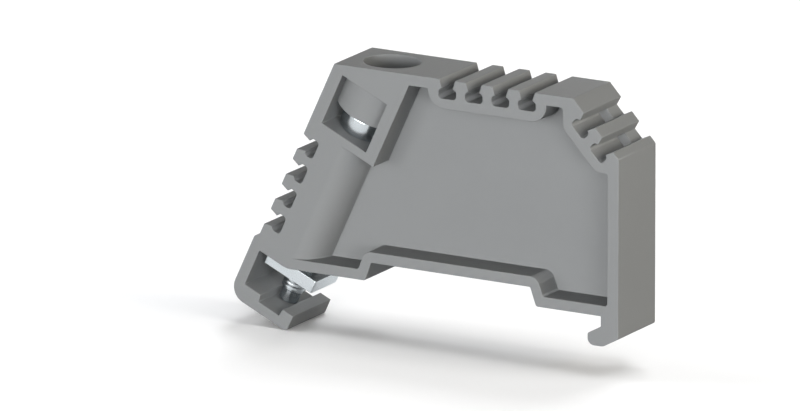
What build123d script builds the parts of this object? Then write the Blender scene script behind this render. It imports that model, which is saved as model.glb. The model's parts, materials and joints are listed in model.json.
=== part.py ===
from build123d import *
from math import cos, radians, sin, tan
import os

# Lengths are in millimetres and angles in degrees.
# X runs across the rail towards the hook, Y along the rail and Z away from it.
# The origin is on the rail's centre line, level with the top of its lips.

# Rail that the clamp fits
rail_width = 35.0
rail_lip = 1.0

# Moulding as a whole
thickness = 7.5
height = 21.7
web = 1.3
top_wall = 1.14
base_wall = 1.1
end_wall = 1.25

# Raised middle of the base, measured from the rail's centre line
bridge_left = 9.2
bridge_right = 10.2
bridge_rise = 1.9
bridge_slope = 70.5
bridge_toe_radius = 0.3
bridge_corner_radius = 0.15

# Hooked leg
leg_width = 1.97
hook_clearance = 0.05
hook_reach = 1.48
hook_slope = 29.0
hook_depth = 3.06
heel_height = 2.1
hook_root_radius = 0.15
hook_tip_radius = 0.25
hook_toe_radius = 0.7
hook_sole_radius = 1.0
heel_radius = 0.3

# Axis of the clamping screw: it meets the underside of the base just outside the rail
axis_tilt = 24.8
axis_setback = 0.73

# Slotted screw with a pilot point, and its clearances
head_radius = 2.5
head_height = 2.0
head_round = 0.3
head_foot_round = 0.15
head_gap = 0.04
driver_slot_width = 0.8
driver_slot_depth = 1.0
driver_slot_turn = 30.0
thread_radius = 1.25
thread_jaw_gap = 0.72
thread_chamfer = 0.15
point_radius = 1.0
point_floor_gap = 0.17
point_chamfer = 0.15
driver_clearance = 0.2
bore_clearance = 0.35

# Window that shows the screw's head, with the sleeve of the driver bore hanging into it
window_clearance = 0.28
window_wall = 1.32
window_roof = 2.485
window_height = 5.7
window_sill = 0.93
sleeve_wall = 0.9
sleeve_gap = 0.31

# Clamping plate, at rest against its seat
plate_width = 6.0
plate_depth = 5.0
plate_thickness = 1.4
plate_edge_radius = 0.15
plate_travel = 2.25
seat_gap = 0.04
thread_gap = 0.05

# Foot with the plate's cage, sized along and across the screw's axis
cage_clearance = 0.4
travel_gap = 0.36
foot_step = 0.45
foot_shoulder = 1.55
jaw_wall = 1.83
jaw_land = 1.325
jaw_groove_clearance = 0.275
jaw_groove_flare = 0.12
jaw_groove_depth = 0.8
foot_corner_radius = 1.7
foot_shoulder_radius = 0.3
jaw_lip_radius = 0.4
seat_blend_radius = 2.0

# Boss round the narrow bore: oval, with its long axis reaching the front and back faces
boss_half_width = 2.72

# Marker grooves: a tapered mouth over a wider slot, rounded up to the neck and shut at the back
groove_pitch = 3.0
mouth_width = 1.78
mouth_depth = 0.92
neck_width = 1.2
slot_width = 1.98
slot_height = 1.03
slot_stop = 2.1

# Each row keeps its first groove at this distance from the window's floor or the chamfer's top,
# and goes on as long as its last groove stays clear of the surface's end
slope_row_start = 2.98
top_row_start = 5.18
chamfer_row_start = 2.74
row_end_margin = 1.5

# Chamfered corner, and the thick blocks that carry its grooves and those of the top
chamfer_run = 5.16
chamfer_slope = 47.0
block_floor = 1.05
block_margin = 2.19
block_radius = 1.8
chamfer_block_margin = 1.11
chamfer_block_ledge = 1.335
chamfer_block_radius = 1.0
shoulder_radius = 0.4
recess_radius = 0.3

# How far a cut runs out past the surface, and the share of a side that its rounds may take
overrun = 1.0
round_limit = 0.95

# Sizes that follow from the ones above, across the rail and up
tilt = radians(axis_tilt)
leg_x = rail_width / 2
wall_x = leg_x + leg_width
axis_foot = leg_x + axis_setback
recess = (thickness - web) / 2
ceiling = height - top_wall
chamfer_rad = radians(chamfer_slope)
chamfer_start = wall_x - chamfer_run
block_depth = mouth_depth + slot_height + block_floor
block_foot = height - block_depth

# Sizes that follow, across and along the screw's axis
half_window = head_radius + window_clearance
column_side = half_window + window_wall
window_floor = height / cos(tilt) - window_roof - window_height
under_head = window_floor + head_gap
head_top = under_head + head_height
driver_radius = head_radius + driver_clearance
cage_side = plate_width / 2 + cage_clearance
foot_side = column_side + foot_step
jaw_floor = -(seat_gap + plate_thickness + plate_travel + travel_gap)
groove_floor = jaw_floor - jaw_groove_depth
groove_floor_half = point_radius + jaw_groove_clearance
groove_mouth_half = groove_floor_half + jaw_groove_flare
jaw_reach = groove_mouth_half + jaw_land
foot_bottom = jaw_floor - jaw_wall


def by_axis(across, along):
    """A point of the side view, given across and along the screw's axis from its foot."""
    x = -axis_foot + across * cos(tilt) + along * sin(tilt)
    z = -across * sin(tilt) + along * cos(tilt)
    return (x, z)


def along_at(across, level):
    """How far along the axis a line beside it reaches the given level."""
    return (level + across * sin(tilt)) / cos(tilt)


# Side views are drawn on planes that face the front, so a sketch's y axis points up or outwards
front = (0, -1, 0)
standing = (Align.CENTER, Align.CENTER, Align.MIN)
side_view = Plane(origin=(0, 0, 0), x_dir=(1, 0, 0), z_dir=front)
axis_frame = Plane(
    origin=(-axis_foot, 0, 0), x_dir=(cos(tilt), 0, -sin(tilt)), z_dir=(sin(tilt), 0, cos(tilt))
)


def corner_outline(corners):
    """A closed face from (point, radius) pairs, each corner rounded by its radius.

    Two rounds that are too large for the side between them shrink together.
    """
    count = len(corners)
    points = [Vector(*point) for point, _ in corners]
    setbacks = []
    for index, (_, radius) in enumerate(corners):
        side_in = points[index] - points[index - 1]
        side_out = points[(index + 1) % count] - points[index]
        turn = radians(side_in.get_angle(side_out))
        setbacks.append(radius * tan(turn / 2))
    shares = []
    for index, setback in enumerate(setbacks):
        following = (index + 1) % count
        side = (points[following] - points[index]).length
        taken = setback + setbacks[following]
        shares.append(min(1, round_limit * side / taken) if taken else 1)
    radii = [
        radius * min(shares[index - 1], shares[index])
        for index, (_, radius) in enumerate(corners)
    ]
    return make_face(FilletPolyline(*points, radius=radii, close=True))


def body_outline():
    """Side view of the whole moulding, clockwise from its top left corner."""
    hook_gap = rail_lip + hook_clearance
    tip_x = leg_x - hook_reach
    tip_top = -(hook_gap + hook_reach * tan(radians(hook_slope)))
    sole_end = wall_x - (hook_depth - heel_height) / tan(radians(hook_slope))
    shoulder_z = height - chamfer_run * tan(chamfer_rad)
    bridge_run = bridge_rise / tan(radians(bridge_slope))
    corners = [
        (by_axis(-column_side, along_at(-column_side, height)), 0),
        ((chamfer_start, height), 0),
        ((wall_x, shoulder_z), shoulder_radius),
        ((wall_x, -heel_height), heel_radius),
        ((sole_end, -hook_depth), hook_sole_radius),
        ((tip_x, -hook_depth), hook_toe_radius),
        ((tip_x, tip_top), hook_tip_radius),
        ((leg_x, -hook_gap), hook_root_radius),
        ((leg_x, 0), 0),
        ((bridge_right, 0), bridge_toe_radius),
        ((bridge_right - bridge_run, bridge_rise), bridge_corner_radius),
        ((-bridge_left + bridge_run, bridge_rise), bridge_corner_radius),
        ((-bridge_left, 0), bridge_toe_radius),
        (by_axis(0, 0), seat_blend_radius),
        (by_axis(-cage_side, 0), 0),
        (by_axis(-cage_side, jaw_floor), 0),
        (by_axis(-groove_mouth_half, jaw_floor), 0),
        (by_axis(-groove_floor_half, groove_floor), 0),
        (by_axis(groove_floor_half, groove_floor), 0),
        (by_axis(groove_mouth_half, jaw_floor), 0),
        (by_axis(jaw_reach, jaw_floor), 0),
        (by_axis(jaw_reach, foot_bottom), jaw_lip_radius),
        (by_axis(-foot_side, foot_bottom), foot_corner_radius),
        (by_axis(-foot_side, foot_shoulder - foot_step), foot_shoulder_radius),
        (by_axis(-column_side, foot_shoulder), foot_shoulder_radius),
    ]
    return corner_outline(corners)


def recess_outline():
    """Side view of the pocket between the screw column, the base, the end wall and the top."""
    bridge_run = bridge_rise / tan(radians(bridge_slope))
    bridge_shift = base_wall * tan(radians(bridge_slope) / 2)
    inner_left = -bridge_left - bridge_shift
    inner_right = bridge_right + bridge_shift
    inner_top = bridge_rise + base_wall
    inner_wall = wall_x - end_wall
    top_row = top_row_centres()
    top_block_left = min(top_row) - block_margin
    top_block_right = max(top_row) + block_margin
    slope_start = chamfer_start - block_depth * tan(chamfer_rad / 2)
    left_x = chamfer_start - chamfer_block_margin
    left_z = block_foot - (left_x - slope_start) * tan(chamfer_rad)
    foot_x = inner_wall - chamfer_block_ledge
    foot_z = block_foot - (foot_x - slope_start) * tan(chamfer_rad)
    sill_along = window_floor - window_sill
    corners = [
        (by_axis(0, along_at(0, base_wall)), 0),
        ((inner_left, base_wall), recess_radius),
        ((inner_left + bridge_run, inner_top), base_wall),
        ((inner_right - bridge_run, inner_top), base_wall),
        ((inner_right, base_wall), recess_radius),
        ((inner_wall, base_wall), recess_radius),
        ((inner_wall, foot_z), recess_radius),
        ((foot_x, foot_z), chamfer_block_radius),
        ((left_x, left_z), chamfer_block_radius),
        ((left_x, ceiling), recess_radius),
        ((top_block_right, ceiling), 0),
        ((top_block_right, block_foot), block_radius),
        ((top_block_left, block_foot), block_radius),
        ((top_block_left, ceiling), 0),
        (by_axis(column_side, along_at(column_side, ceiling)), 0),
        (by_axis(column_side, sill_along), 0),
        (by_axis(0, sill_along), 0),
    ]
    return corner_outline(corners)


def recess_pockets():
    """The pocket on each side of the web, less the rounded boss round the screw bore."""
    boss = axis_frame * extrude(Ellipse(boss_half_width, thickness / 2), height)
    prism = extrude(side_view * recess_outline(), recess / 2, both=True)
    side_shift = (web + recess) / 2
    return [Pos(0, side * side_shift, 0) * prism - boss for side in (-1, 1)]


def head_window():
    """The opening through the column at the screw's head, less the sleeve that hangs in it."""
    opening_size = (2 * half_window, thickness + 2 * overrun, window_height)
    opening = Pos(0, 0, window_floor) * Box(*opening_size, align=standing)
    sleeve = Cylinder(driver_radius + sleeve_wall, window_height, align=standing)
    return axis_frame * (opening - Pos(0, 0, head_top + sleeve_gap) * sleeve)


def screw_bores():
    """The narrow bore from the seat to the window, and the driver bore from there to the top."""
    narrow_length = window_floor + 2 * overrun
    narrow = Cylinder(thread_radius + bore_clearance, narrow_length, align=standing)
    driver = Cylinder(driver_radius, height, align=standing)
    return axis_frame * (Pos(0, 0, -overrun) * narrow + Pos(0, 0, window_floor) * driver)


def row_centres(first, step, room):
    """Where the grooves of a row lie, from the first one as far as there is room."""
    return [first + index * step for index in range(1 + int(room / groove_pitch))]


def slope_row_centres():
    """The grooves of the slope, from the window downwards."""
    first = window_floor - slope_row_start
    return row_centres(first, -groove_pitch, first - foot_shoulder - row_end_margin)


def top_row_centres():
    """The grooves of the top, from the chamfer towards the screw column."""
    first = chamfer_start - top_row_start
    column_x = by_axis(column_side, along_at(column_side, ceiling))[0]
    return row_centres(first, -groove_pitch, first - block_margin - column_x)


def chamfer_row_centres():
    """The grooves of the chamfer, from its top downwards."""
    length = chamfer_run / cos(chamfer_rad)
    return row_centres(chamfer_row_start, groove_pitch, length - chamfer_row_start - row_end_margin)


def marker_groove(surface, centre):
    """One groove cut into a surface whose sketch y axis points outwards."""
    mouth = Polyline(
        (-mouth_width / 2, 0),
        (-mouth_width / 2, overrun),
        (mouth_width / 2, overrun),
        (mouth_width / 2, 0),
        (neck_width / 2, -mouth_depth),
        (-neck_width / 2, -mouth_depth),
        close=True,
    )
    slot_round = min((slot_width - neck_width) / 2, round_limit * slot_height / 2)
    slot = RectangleRounded(slot_width, slot_height, slot_round)
    slot_face = Pos(centre, -mouth_depth - slot_height / 2) * slot
    mouth_face = Pos(centre, 0) * make_face(mouth)
    slot_plane = surface.offset(slot_stop - thickness / 2)
    mouth_cut = extrude(surface * mouth_face, thickness / 2 + overrun, both=True)
    slot_cut = extrude(slot_plane * slot_face, thickness - slot_stop + overrun)
    return mouth_cut + slot_cut


def marker_grooves():
    """Every groove of the slope, the top and the chamfered corner."""
    slope_foot = by_axis(-column_side, 0)
    slope = Plane(
        origin=(slope_foot[0], 0, slope_foot[1]), x_dir=(sin(tilt), 0, cos(tilt)), z_dir=front
    )
    top = Plane(origin=(0, 0, height), x_dir=(1, 0, 0), z_dir=front)
    chamfer = Plane(
        origin=(chamfer_start, 0, height),
        x_dir=(cos(chamfer_rad), 0, -sin(chamfer_rad)),
        z_dir=front,
    )
    rows = [
        (slope, slope_row_centres()),
        (top, top_row_centres()),
        (chamfer, chamfer_row_centres()),
    ]
    return [marker_groove(surface, centre) for surface, centres in rows for centre in centres]


def make_body():
    """The moulding, in one piece."""
    body = extrude(side_view * body_outline(), thickness / 2, both=True)
    for pocket in recess_pockets():
        body -= pocket
    body -= head_window()
    body -= screw_bores()
    for groove in marker_grooves():
        body -= groove
    return body


def make_screw():
    """The clamping screw, turned about its own axis, with a slot across its head."""
    thread_end = jaw_floor + thread_jaw_gap
    tip = groove_floor + point_floor_gap
    corners = [
        ((0, tip), 0),
        ((point_radius - point_chamfer, tip), 0),
        ((point_radius, tip + point_chamfer), 0),
        ((point_radius, thread_end), 0),
        ((thread_radius - thread_chamfer, thread_end), 0),
        ((thread_radius, thread_end + thread_chamfer), 0),
        ((thread_radius, under_head), 0),
        ((head_radius, under_head), head_foot_round),
        ((head_radius, head_top), head_round),
        ((0, head_top), 0),
    ]
    turned = revolve(Plane.XZ * corner_outline(corners), Axis.Z)
    slot_size = (3 * head_radius, driver_slot_width, 2 * driver_slot_depth)
    driver_slot = Pos(0, 0, head_top) * Rot(0, 0, driver_slot_turn) * Box(*slot_size)
    return axis_frame * (turned - driver_slot)


def make_plate():
    """The clamping plate that climbs the screw, with its threaded hole."""
    plate = Box(plate_width, plate_depth, plate_thickness)
    plate = fillet(plate.edges().filter_by(Axis.Z), plate_edge_radius)
    plate -= Cylinder(thread_radius + thread_gap, 2 * plate_thickness)
    return axis_frame * Pos(0, 0, -seat_gap - plate_thickness / 2) * plate


os.makedirs("parts", exist_ok=True)
pieces = {"body": make_body(), "clamp_screw": make_screw(), "clamp_plate": make_plate()}
for name, piece in pieces.items():
    piece.label = name
    export_step(piece, f"parts/{name}.step")
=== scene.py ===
import json
from math import cos, pi, radians, sin

import bmesh
import bpy
from mathutils import Matrix, Vector


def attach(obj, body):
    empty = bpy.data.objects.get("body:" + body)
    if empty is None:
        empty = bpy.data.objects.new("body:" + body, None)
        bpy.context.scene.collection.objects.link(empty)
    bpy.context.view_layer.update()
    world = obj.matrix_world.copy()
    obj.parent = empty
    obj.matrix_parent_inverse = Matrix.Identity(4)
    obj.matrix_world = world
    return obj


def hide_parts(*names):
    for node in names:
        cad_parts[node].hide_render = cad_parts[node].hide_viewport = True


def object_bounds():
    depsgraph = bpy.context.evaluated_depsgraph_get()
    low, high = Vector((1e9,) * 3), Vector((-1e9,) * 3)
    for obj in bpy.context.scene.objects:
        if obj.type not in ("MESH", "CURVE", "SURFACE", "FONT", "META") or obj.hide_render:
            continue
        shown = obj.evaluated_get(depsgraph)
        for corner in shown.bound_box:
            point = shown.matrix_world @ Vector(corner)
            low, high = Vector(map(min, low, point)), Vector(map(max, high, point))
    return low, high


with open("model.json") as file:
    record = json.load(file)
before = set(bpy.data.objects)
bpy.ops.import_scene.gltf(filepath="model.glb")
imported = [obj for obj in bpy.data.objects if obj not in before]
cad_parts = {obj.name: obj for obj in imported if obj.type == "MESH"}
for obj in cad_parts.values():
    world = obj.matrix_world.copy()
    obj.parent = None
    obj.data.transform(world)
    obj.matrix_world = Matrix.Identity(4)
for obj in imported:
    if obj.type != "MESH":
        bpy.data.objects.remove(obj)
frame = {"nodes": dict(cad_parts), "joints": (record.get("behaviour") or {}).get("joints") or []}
cad_low, cad_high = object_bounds()
mm = 0.001
white = 0xFFFFFF

# Frame of the clamping screw: across it, along the rail and up its axis, from the screw's foot
screw_turn = next(joint for joint in frame["joints"] if joint["name"] == "screw_turn")
screw_foot = Vector(screw_turn["pos_m"])
axis_up = Vector(screw_turn["axis"])
rail_way = Vector((0, 1, 0))
axis_frame = Matrix((rail_way.cross(axis_up), rail_way, axis_up)).transposed().to_4x4()
axis_frame.translation = screw_foot

# Clamping screw, in millimetres along and round its axis
head_radius = 2.5
head_height = 2.0
head_round = 0.3
head_foot_round = 0.15
driver_slot_width = 0.8
driver_slot_depth = 1.0
driver_slot_turn = 30.0
thread_radius = 1.25
thread_pitch = 0.45
thread_chamfer = 0.15
point_radius = 1.0
point_length = 1.35
point_chamfer = 0.15

# Thread: drawn shallow, because the seen end of the screw looks smooth. From the middle of the
# groove, in pitches, the root ends and the crest begins
thread_depth = 0.02
thread_runout = 0.5
root_end = 0.075
crest_start = 0.4

# Facets of the turned screw: round it, along each pitch and round each small arc
turned_sides = 64
pitch_steps = 12
arc_steps = 6
screw_crease = radians(35)

# Moulding and plate: small rounds that break their corners, in millimetres. Where the wall beside
# an edge is narrower than so many of its rounds, the round takes a share of the wall
moulding_edge = 0.07
plate_edge = 0.05
edge_room = 1.6
narrow_share = 0.45
edge_segments = 2
sharp_corner = radians(28)
flat_facet = radians(0.5)
same_point = 0.002

# Photograph's view: what its middle looks at, its angle, and its width in the object's plane
picture_width = 800
pixels_per_mm = 10.15
look_at = Vector((-4.786, -4.473, 8.451)) * mm
view_azimuth = 30
view_elevation = 15
lens = 800.0
film_width = 36.0

# Studio, in metres, and the little light that its white paper and surround give the object
lamp_size = 0.2
lamp_distance = 0.5
floor_reach = 3.0
paper_to_object = 0x202020
surround_to_object = 0.005
paper_glow = 0.03


def linear(code):
    """Linear colour with alpha, from an sRGB hex value."""
    shares = [((code >> shift) & 255) / 255 for shift in (16, 8, 0)]
    return (*[c / 12.92 if c <= 0.04045 else ((c + 0.055) / 1.055) ** 2.4 for c in shares], 1.0)


def add_node(tree, kind, inputs=None, **settings):
    """Adds a node, with its settings, and with each input set to a value or linked to a socket."""
    added = tree.nodes.new(kind)
    for name, value in settings.items():
        setattr(added, name, value)
    for name, value in (inputs or {}).items():
        if isinstance(value, bpy.types.NodeSocket):
            tree.links.new(value, added.inputs[name])
        else:
            added.inputs[name].default_value = value
    return added


def new_material(name):
    """A material with an empty node tree."""
    material = bpy.data.materials.new(name)
    material.use_nodes = True
    material.node_tree.nodes.clear()
    return material, material.node_tree


def moulded_polyamide():
    """Polyamide 66 from a spark-eroded mould: an even grey with a dull, finely grained surface."""
    # The real grain is under a tenth of a millimetre, and is drawn coarse enough to show
    grain_size = 0.16 * mm
    cloud_size = 5.0 * mm
    material, tree = new_material("moulded_polyamide")
    place = add_node(tree, "ShaderNodeTexCoord").outputs["Object"]
    clouds = add_node(tree, "ShaderNodeTexNoise", {
        "Vector": place, "Scale": 1 / cloud_size, "Detail": 3.0, "Roughness": 0.55,
    })
    grain = add_node(tree, "ShaderNodeTexNoise", {
        "Vector": place, "Scale": 1 / grain_size, "Detail": 2.0, "Roughness": 0.6,
    })
    colour = add_node(tree, "ShaderNodeMix", {
        "Factor": clouds.outputs["Fac"], "A": linear(0x97999A), "B": linear(0x9B9D9E),
    }, data_type="RGBA")
    gloss = add_node(tree, "ShaderNodeMapRange", {
        "Value": grain.outputs["Fac"], "To Min": 0.54, "To Max": 0.66,
    })
    relief = add_node(tree, "ShaderNodeBump", {
        "Height": grain.outputs["Fac"], "Strength": 0.25, "Distance": 0.02 * mm,
    })
    surface = add_node(tree, "ShaderNodeBsdfPrincipled", {
        "Base Color": colour.outputs["Result"],
        "Roughness": gloss.outputs["Result"],
        "Normal": relief.outputs["Normal"],
        "IOR": 1.53,
        "Specular IOR Level": 0.1,
    })
    add_node(tree, "ShaderNodeOutputMaterial", {"Surface": surface.outputs["BSDF"]})
    return material


def zinc_plate(name, mark_size, mark_scale, roughness):
    """Bright zinc plate over steel: a cool white metal, with the fine marks of its making.

    The marks lie in the screw's frame, and a small scale along a direction draws them out in it.
    """
    to_axis = axis_frame.inverted()
    material, tree = new_material(name)
    place = add_node(tree, "ShaderNodeTexCoord").outputs["Object"]
    turned = add_node(tree, "ShaderNodeMapping", {
        "Vector": place, "Location": to_axis.translation, "Rotation": to_axis.to_euler(),
    })
    stretched = add_node(tree, "ShaderNodeMapping", {
        "Vector": turned.outputs["Vector"], "Scale": mark_scale,
    })
    marks = add_node(tree, "ShaderNodeTexNoise", {
        "Vector": stretched.outputs["Vector"], "Scale": 1 / mark_size, "Detail": 3.0,
    })
    tint = add_node(tree, "ShaderNodeMix", {
        "Factor": marks.outputs["Fac"], "A": linear(0xDDE4E7), "B": linear(0xE8EEF1),
    }, data_type="RGBA")
    gloss = add_node(tree, "ShaderNodeMapRange", {
        "Value": marks.outputs["Fac"], "To Min": roughness * 0.85, "To Max": roughness * 1.15,
    })
    relief = add_node(tree, "ShaderNodeBump", {
        "Height": marks.outputs["Fac"], "Strength": 0.2, "Distance": 0.004 * mm,
    })
    surface = add_node(tree, "ShaderNodeBsdfPrincipled", {
        "Base Color": tint.outputs["Result"],
        "Metallic": 1.0,
        "Roughness": gloss.outputs["Result"],
        "Normal": relief.outputs["Normal"],
    })
    add_node(tree, "ShaderNodeOutputMaterial", {"Surface": surface.outputs["BSDF"]})
    return material


def turned_zinc():
    """Zinc on a turned screw: its marks are close together along the axis and long across it."""
    return zinc_plate("turned_zinc", 0.05 * mm, (0.15, 0.15, 1.0), 0.24)


def pressed_zinc():
    """Zinc on a plate pressed from strip: its marks are long in the strip's rolling direction."""
    return zinc_plate("pressed_zinc", 0.08 * mm, (0.2, 1.0, 1.0), 0.26)


def object_from(name, data):
    """A new object at the origin for a mesh, a lamp or a camera."""
    made = bpy.data.objects.new(name, data)
    bpy.context.scene.collection.objects.link(made)
    return made


def plain_mesh(worked):
    """Gives an object the mesh that its modifiers make, in place of the modifiers."""
    graph = bpy.context.evaluated_depsgraph_get()
    mesh = bpy.data.meshes.new_from_object(worked.evaluated_get(graph))
    worked.modifiers.clear()
    worked.data = mesh
    return worked


def room_beside(loop, sharp):
    """How far a face reaches inwards from the middle of a side before it meets a sharp edge."""
    widest = 1.0
    touching = 1e-7
    start = loop.vert.co
    along = loop.link_loop_next.vert.co - start
    middle = start + along / 2
    along.normalize()
    inward = loop.face.normal.cross(along)
    room = widest
    for other in loop.face.loops:
        if other.edge not in sharp:
            continue
        first = other.vert.co - middle
        second = other.link_loop_next.vert.co - middle
        if first.dot(along) * second.dot(along) >= 0:
            continue
        share = first.dot(along) / (first - second).dot(along)
        reach = first.lerp(second, share).dot(inward)
        if reach > touching:
            room = min(room, reach)
    return room


def broken_edges(name, node, width):
    """A copy of a CAD node with its facets joined and each corner broken by a small round.

    Beside a narrow wall the round shrinks with the wall, so that it fades out where the wall ends.
    """
    mesh = frame["nodes"][node].data.copy()
    mesh.materials.clear()
    joined = bmesh.new()
    joined.from_mesh(mesh)
    bmesh.ops.remove_doubles(joined, verts=joined.verts, dist=same_point * mm)
    bmesh.ops.dissolve_limit(
        joined, angle_limit=flat_facet, verts=joined.verts, edges=joined.edges
    )
    bmesh.ops.recalc_face_normals(joined, faces=joined.faces)
    weight = joined.edges.layers.float.new("bevel_weight_edge")
    sharp = {edge for edge in joined.edges if edge.calc_face_angle(0) > sharp_corner}
    for edge in sharp:
        room = min(room_beside(loop, sharp) for loop in edge.link_loops)
        widths_of_room = room / (width * mm)
        edge[weight] = 1.0 if widths_of_room > edge_room else narrow_share * widths_of_room
    joined.to_mesh(mesh)
    joined.free()
    mesh.shade_smooth()
    made = object_from(name, mesh)
    rounding = made.modifiers.new("broken_edges", "BEVEL")
    rounding.width = width * mm
    rounding.segments = edge_segments
    rounding.limit_method = "WEIGHT"
    rounding.use_clamp_overlap = False
    shading = made.modifiers.new("flat_walls", "WEIGHTED_NORMAL")
    shading.mode = "FACE_AREA"
    shading.weight = 100
    shading.keep_sharp = True
    return plain_mesh(made)


def dress(piece, material, body, node):
    """Gives a piece its material, and sets it in the place of a CAD node."""
    piece.data.materials.clear()
    piece.data.materials.append(material)
    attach(piece, body)
    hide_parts(node)


def arc(centre, radius, start, end):
    """Points of an arc in a profile, as (radius, along) pairs, between two angles in degrees."""
    angles = [radians(start + (end - start) * step / arc_steps) for step in range(arc_steps + 1)]
    return [(centre[0] + radius * cos(a), centre[1] + radius * sin(a)) for a in angles]


def turned_solid(name, profile):
    """A solid turned round the local Z axis, from a profile that starts and ends on it."""
    turning = bmesh.new()
    angles = [2 * pi * index / turned_sides for index in range(turned_sides)]
    rings = [
        [
            turning.verts.new((radius * mm * cos(a), radius * mm * sin(a), along * mm))
            for a in angles
        ]
        for radius, along in profile[1:-1]
    ]
    low = turning.verts.new((0, 0, profile[0][1] * mm))
    high = turning.verts.new((0, 0, profile[-1][1] * mm))
    for index in range(turned_sides):
        following = (index + 1) % turned_sides
        turning.faces.new((low, rings[0][following], rings[0][index]))
        turning.faces.new((high, rings[-1][index], rings[-1][following]))
        for below, above in zip(rings, rings[1:]):
            turning.faces.new((below[index], below[following], above[following], above[index]))
    bmesh.ops.recalc_face_normals(turning, faces=turning.faces)
    mesh = bpy.data.meshes.new(name)
    turning.to_mesh(mesh)
    turning.free()
    return object_from(name, mesh)


def thread_tree():
    """Geometry nodes that press a helical thread into a turned shank whose axis is Z.

    The thread runs from Start to End and is at full depth between Full From and Full To. What
    stands further out than Widest stays as it is.
    """
    tree = bpy.data.node_groups.new("rolled_thread", "GeometryNodeTree")
    face = tree.interface
    face.new_socket("Geometry", in_out="INPUT", socket_type="NodeSocketGeometry")
    for name in ("Pitch", "Depth", "Start", "Full From", "Full To", "End", "Widest"):
        face.new_socket(name, in_out="INPUT", socket_type="NodeSocketFloat")
    face.new_socket("Material", in_out="INPUT", socket_type="NodeSocketMaterial")
    face.new_socket("Geometry", in_out="OUTPUT", socket_type="NodeSocketGeometry")
    given = add_node(tree, "NodeGroupInput").outputs
    place = add_node(tree, "GeometryNodeInputPosition").outputs["Position"]
    part = add_node(tree, "ShaderNodeSeparateXYZ", {"Vector": place}).outputs
    spoke = add_node(tree, "ShaderNodeCombineXYZ", {"X": part["X"], "Y": part["Y"]})

    # Distance from the middle of the nearest groove, in pitches
    angle = add_node(tree, "ShaderNodeMath", {0: part["Y"], 1: part["X"]}, operation="ARCTAN2")
    turns = add_node(tree, "ShaderNodeMath", {0: angle.outputs[0], 1: 2 * pi}, operation="DIVIDE")
    rise = add_node(tree, "ShaderNodeMath", {0: part["Z"], 1: given["Pitch"]}, operation="DIVIDE")
    helix = add_node(tree, "ShaderNodeMath", {
        0: rise.outputs[0], 1: turns.outputs[0],
    }, operation="SUBTRACT")
    off_groove = add_node(tree, "ShaderNodeMath", {
        0: helix.outputs[0], 1: 0.5,
    }, operation="PINGPONG")

    # Depth there, which fades in and out at the two ends
    groove = add_node(tree, "ShaderNodeMapRange", {
        "Value": off_groove.outputs[0],
        "From Min": crest_start, "From Max": root_end, "To Max": given["Depth"],
    }, interpolation_type="SMOOTHSTEP")
    begun = add_node(tree, "ShaderNodeMapRange", {
        "Value": part["Z"],
        "From Min": given["Start"], "From Max": given["Full From"],
        "To Max": groove.outputs["Result"],
    })
    depth = add_node(tree, "ShaderNodeMapRange", {
        "Value": part["Z"],
        "From Min": given["End"], "From Max": given["Full To"],
        "To Max": begun.outputs["Result"],
    })

    radius = add_node(tree, "ShaderNodeVectorMath", {
        0: spoke.outputs["Vector"],
    }, operation="LENGTH")
    on_shank = add_node(tree, "ShaderNodeMath", {
        0: radius.outputs["Value"], 1: given["Widest"],
    }, operation="LESS_THAN")
    outward = add_node(tree, "ShaderNodeVectorMath", {
        0: spoke.outputs["Vector"],
    }, operation="NORMALIZE")
    pressed = add_node(tree, "ShaderNodeVectorMath", {
        0: outward.outputs["Vector"], "Scale": depth.outputs["Result"],
    }, operation="SCALE")
    new_place = add_node(tree, "ShaderNodeVectorMath", {
        0: place, 1: pressed.outputs["Vector"],
    }, operation="SUBTRACT")
    moved = add_node(tree, "GeometryNodeSetPosition", {
        "Geometry": given["Geometry"],
        "Selection": on_shank.outputs[0],
        "Position": new_place.outputs["Vector"],
    })
    real = add_node(tree, "GeometryNodeRealizeInstances", {"Geometry": moved.outputs["Geometry"]})
    finished = add_node(tree, "GeometryNodeSetMaterial", {
        "Geometry": real.outputs["Geometry"], "Material": given["Material"],
    })
    add_node(tree, "NodeGroupOutput", {"Geometry": finished.outputs["Geometry"]})
    return tree


def set_inputs(modifier, values):
    """Sets a geometry nodes modifier's inputs, given by name, through their identifiers."""
    for item in modifier.node_group.interface.items_tree:
        if item.item_type == "SOCKET" and item.in_out == "INPUT" and item.name in values:
            modifier[item.identifier] = values[item.name]


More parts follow.
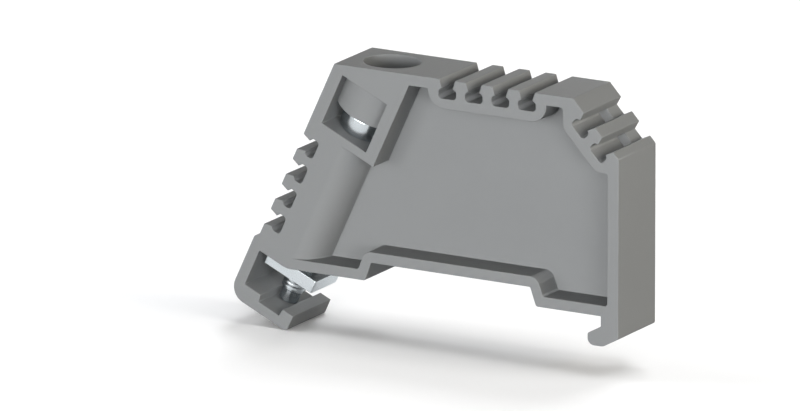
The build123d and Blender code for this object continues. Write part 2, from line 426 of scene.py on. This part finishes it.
def slotted_screw(material):
    """The clamping screw, with its slotted head, its rolled thread and its pilot point."""
    points = frame["nodes"]["clamp_screw"].data.vertices
    heights = [(point.co - screw_foot).dot(axis_up) / mm for point in points]
    tip, head_top = min(heights), max(heights)
    thread_end = tip + point_length
    under_head = head_top - head_height
    shank_foot = thread_end + thread_chamfer
    shank_length = under_head - shank_foot
    shank_steps = int(shank_length * pitch_steps / thread_pitch)
    shank = [
        (thread_radius, shank_foot + shank_length * index / shank_steps)
        for index in range(shank_steps + 1)
    ]
    foot_centre = (head_radius - head_foot_round, under_head + head_foot_round)
    crown_centre = (head_radius - head_round, head_top - head_round)
    screw = turned_solid("slotted_screw", [
        (0, tip),
        (point_radius / 2, tip),
        (point_radius - point_chamfer, tip),
        (point_radius, tip + point_chamfer),
        (point_radius, thread_end),
        (thread_radius - thread_chamfer, thread_end),
        *shank,
        *arc(foot_centre, head_foot_round, -90, 0),
        *arc(crown_centre, head_round, 0, 90),
        (head_radius / 2, head_top),
        (0, head_top),
    ])
    cutter = slot_cutter(head_top)
    cut = screw.modifiers.new("driver_slot", "BOOLEAN")
    cut.operation = "DIFFERENCE"
    cut.solver = "EXACT"
    cut.object = cutter
    thread = screw.modifiers.new("thread", "NODES")
    thread.node_group = thread_tree()
    runout_end = under_head - thread_runout
    set_inputs(thread, {
        "Pitch": thread_pitch * mm,
        "Depth": thread_depth * mm,
        "Start": shank_foot * mm,
        "Full From": (shank_foot + thread_runout) * mm,
        "Full To": (runout_end - thread_runout) * mm,
        "End": runout_end * mm,
        "Widest": (thread_radius + thread_depth) * mm,
        "Material": material,
    })
    plain_mesh(screw)
    bpy.data.objects.remove(cutter)
    screw.data.transform(axis_frame)
    screw.data.shade_smooth()
    screw.data.set_sharp_from_angle(angle=screw_crease)
    return screw


def slot_cutter(head_top):
    """The block that cuts the driver's slot across the head."""
    cutting = bmesh.new()
    size = Vector((3 * head_radius, driver_slot_width, 2 * driver_slot_depth)) * mm
    bmesh.ops.create_cube(cutting, size=1, matrix=Matrix.Diagonal((*size, 1)))
    mesh = bpy.data.meshes.new("driver_slot")
    cutting.to_mesh(mesh)
    cutting.free()
    mesh.transform(Matrix.Rotation(radians(driver_slot_turn), 4, "Z"))
    mesh.transform(Matrix.Translation((0, 0, head_top * mm)))
    return object_from("driver_slot", mesh)


def looking_from(azimuth, elevation, distance, target, name, data):
    """A camera or lamp that looks at a target, from so many degrees round to the right, and up."""
    turn, rise = radians(azimuth), radians(elevation)
    back = Vector((sin(turn) * cos(rise), -cos(turn) * cos(rise), sin(rise)))
    placed = object_from(name, data)
    placed.location = target + back * distance
    placed.rotation_euler = (-back).to_track_quat("-Z", "Y").to_euler()
    return placed


def camera_at_the_photograph():
    """A long lens, so that the view is nearly parallel, as in the photograph."""
    width = picture_width / pixels_per_mm * mm
    distance = width * lens / film_width
    data = bpy.data.cameras.new("camera")
    data.lens = lens
    data.sensor_width = film_width
    data.clip_start = distance / 10
    data.clip_end = distance * 3
    bpy.context.scene.camera = looking_from(
        view_azimuth, view_elevation, distance, look_at, "camera", data
    )


def seen_straight(tree):
    """One for the rays of the camera, of mirrors and of glass, and nought for diffuse light."""
    path = add_node(tree, "ShaderNodeLightPath").outputs
    seen = add_node(tree, "ShaderNodeMath", {
        0: path["Is Camera Ray"], 1: path["Is Glossy Ray"],
    }, operation="MAXIMUM")
    return add_node(tree, "ShaderNodeMath", {
        0: seen.outputs[0], 1: path["Is Transmission Ray"],
    }, operation="MAXIMUM").outputs[0]


def white_paper():
    """Matt white paper, which looks white and lights the object dimly."""
    material, tree = new_material("white_paper")
    seen = seen_straight(tree)
    colour = add_node(tree, "ShaderNodeMix", {
        "Factor": seen, "A": linear(paper_to_object), "B": linear(white),
    }, data_type="RGBA")
    paper = add_node(tree, "ShaderNodeBsdfDiffuse", {"Color": colour.outputs["Result"]})
    glow = add_node(tree, "ShaderNodeMath", {0: seen, 1: paper_glow}, operation="MULTIPLY")
    light = add_node(tree, "ShaderNodeEmission", {
        "Color": linear(white), "Strength": glow.outputs[0],
    })
    surface = add_node(tree, "ShaderNodeAddShader", {0: paper.outputs[0], 1: light.outputs[0]})
    add_node(tree, "ShaderNodeOutputMaterial", {"Surface": surface.outputs[0]})
    return material


def paper_floor():
    """A white floor under the foot, with the object's soft shadow on it."""
    laying = bmesh.new()
    bmesh.ops.create_grid(laying, x_segments=1, y_segments=1, size=floor_reach)
    mesh = bpy.data.meshes.new("floor")
    laying.to_mesh(mesh)
    laying.free()
    mesh.transform(Matrix.Translation((0, 0, cad_low.z)))
    mesh.materials.append(white_paper())
    floor = object_from("floor", mesh)
    return floor


def studio_world():
    """A white surround for the eye, for mirrors and for glass, which lights the object dimly."""
    world = bpy.data.worlds.new("studio")
    bpy.context.scene.world = world
    world.use_nodes = True
    tree = world.node_tree
    tree.nodes.clear()
    strength = add_node(tree, "ShaderNodeMix", {
        "Factor": seen_straight(tree), "A": surround_to_object, "B": 1.0,
    })
    sky = add_node(tree, "ShaderNodeBackground", {
        "Color": linear(white), "Strength": strength.outputs["Result"],
    })
    add_node(tree, "ShaderNodeOutputWorld", {"Surface": sky.outputs[0]})


def soft_lamp(name, azimuth, elevation, watts, colour=white, lit=None):
    """A square lamp that looks at the object from a direction given as the camera's is.

    A lamp with a collection to light leaves everything else unlit. The others light everything,
    and their light isn't passed on from face to face, so that recesses stay as dark as in the
    photograph.
    """
    data = bpy.data.lights.new(name, "AREA")
    data.shape = "SQUARE"
    data.size = lamp_size
    data.energy = watts
    data.color = linear(colour)[:3]
    middle = (cad_low + cad_high) / 2
    lamp = looking_from(azimuth, elevation, lamp_distance, middle, name, data)
    lamp.light_linking.receiver_collection = lit
    if lit is None:
        data.cycles.max_bounces = 0


def studio_lamps():
    """Low lamps by the camera and to its right, high ones further round, and two behind."""
    soft_lamp("key", azimuth=6, elevation=2, watts=1.85)
    soft_lamp("left_fill", azimuth=-20, elevation=12, watts=0.5)
    soft_lamp("camera_fill", azimuth=25, elevation=22, watts=0.3)
    soft_lamp("right_fill", azimuth=50, elevation=3, watts=0.88)
    soft_lamp("side_fill", azimuth=90, elevation=18, watts=0.93, colour=0xFFF8EA)
    soft_lamp("top_fill", azimuth=105, elevation=40, watts=0.12)
    soft_lamp("back_fill", azimuth=195, elevation=0, watts=3.2)
    soft_lamp("slope_fill", azimuth=-110, elevation=1, watts=0.9)


def floor_lamps(floor):
    """Cool lamps from above for the floor alone, which give it the object's soft shadow."""
    cool = 0xFCFDFF
    paper = bpy.data.collections.new("lit_paper")
    paper.objects.link(floor)
    soft_lamp("floor_back", azimuth=180, elevation=60, watts=0.88, colour=cool, lit=paper)
    soft_lamp("floor_right", azimuth=90, elevation=60, watts=0.64, colour=cool, lit=paper)
    soft_lamp("floor_left", azimuth=-75, elevation=50, watts=0.64, colour=cool, lit=paper)


bpy.context.scene.view_settings.view_transform = "Standard"
camera_at_the_photograph()
studio_world()
studio_lamps()
floor_lamps(paper_floor())

moulding = broken_edges("moulded_body", "body", moulding_edge)
plate = broken_edges("pressed_plate", "clamp_plate", plate_edge)
bright_zinc = turned_zinc()
screw = slotted_screw(bright_zinc)
dress(moulding, moulded_polyamide(), body="moulding", node="body")
dress(plate, pressed_zinc(), body="plate", node="clamp_plate")
dress(screw, bright_zinc, body="screw", node="clamp_screw")
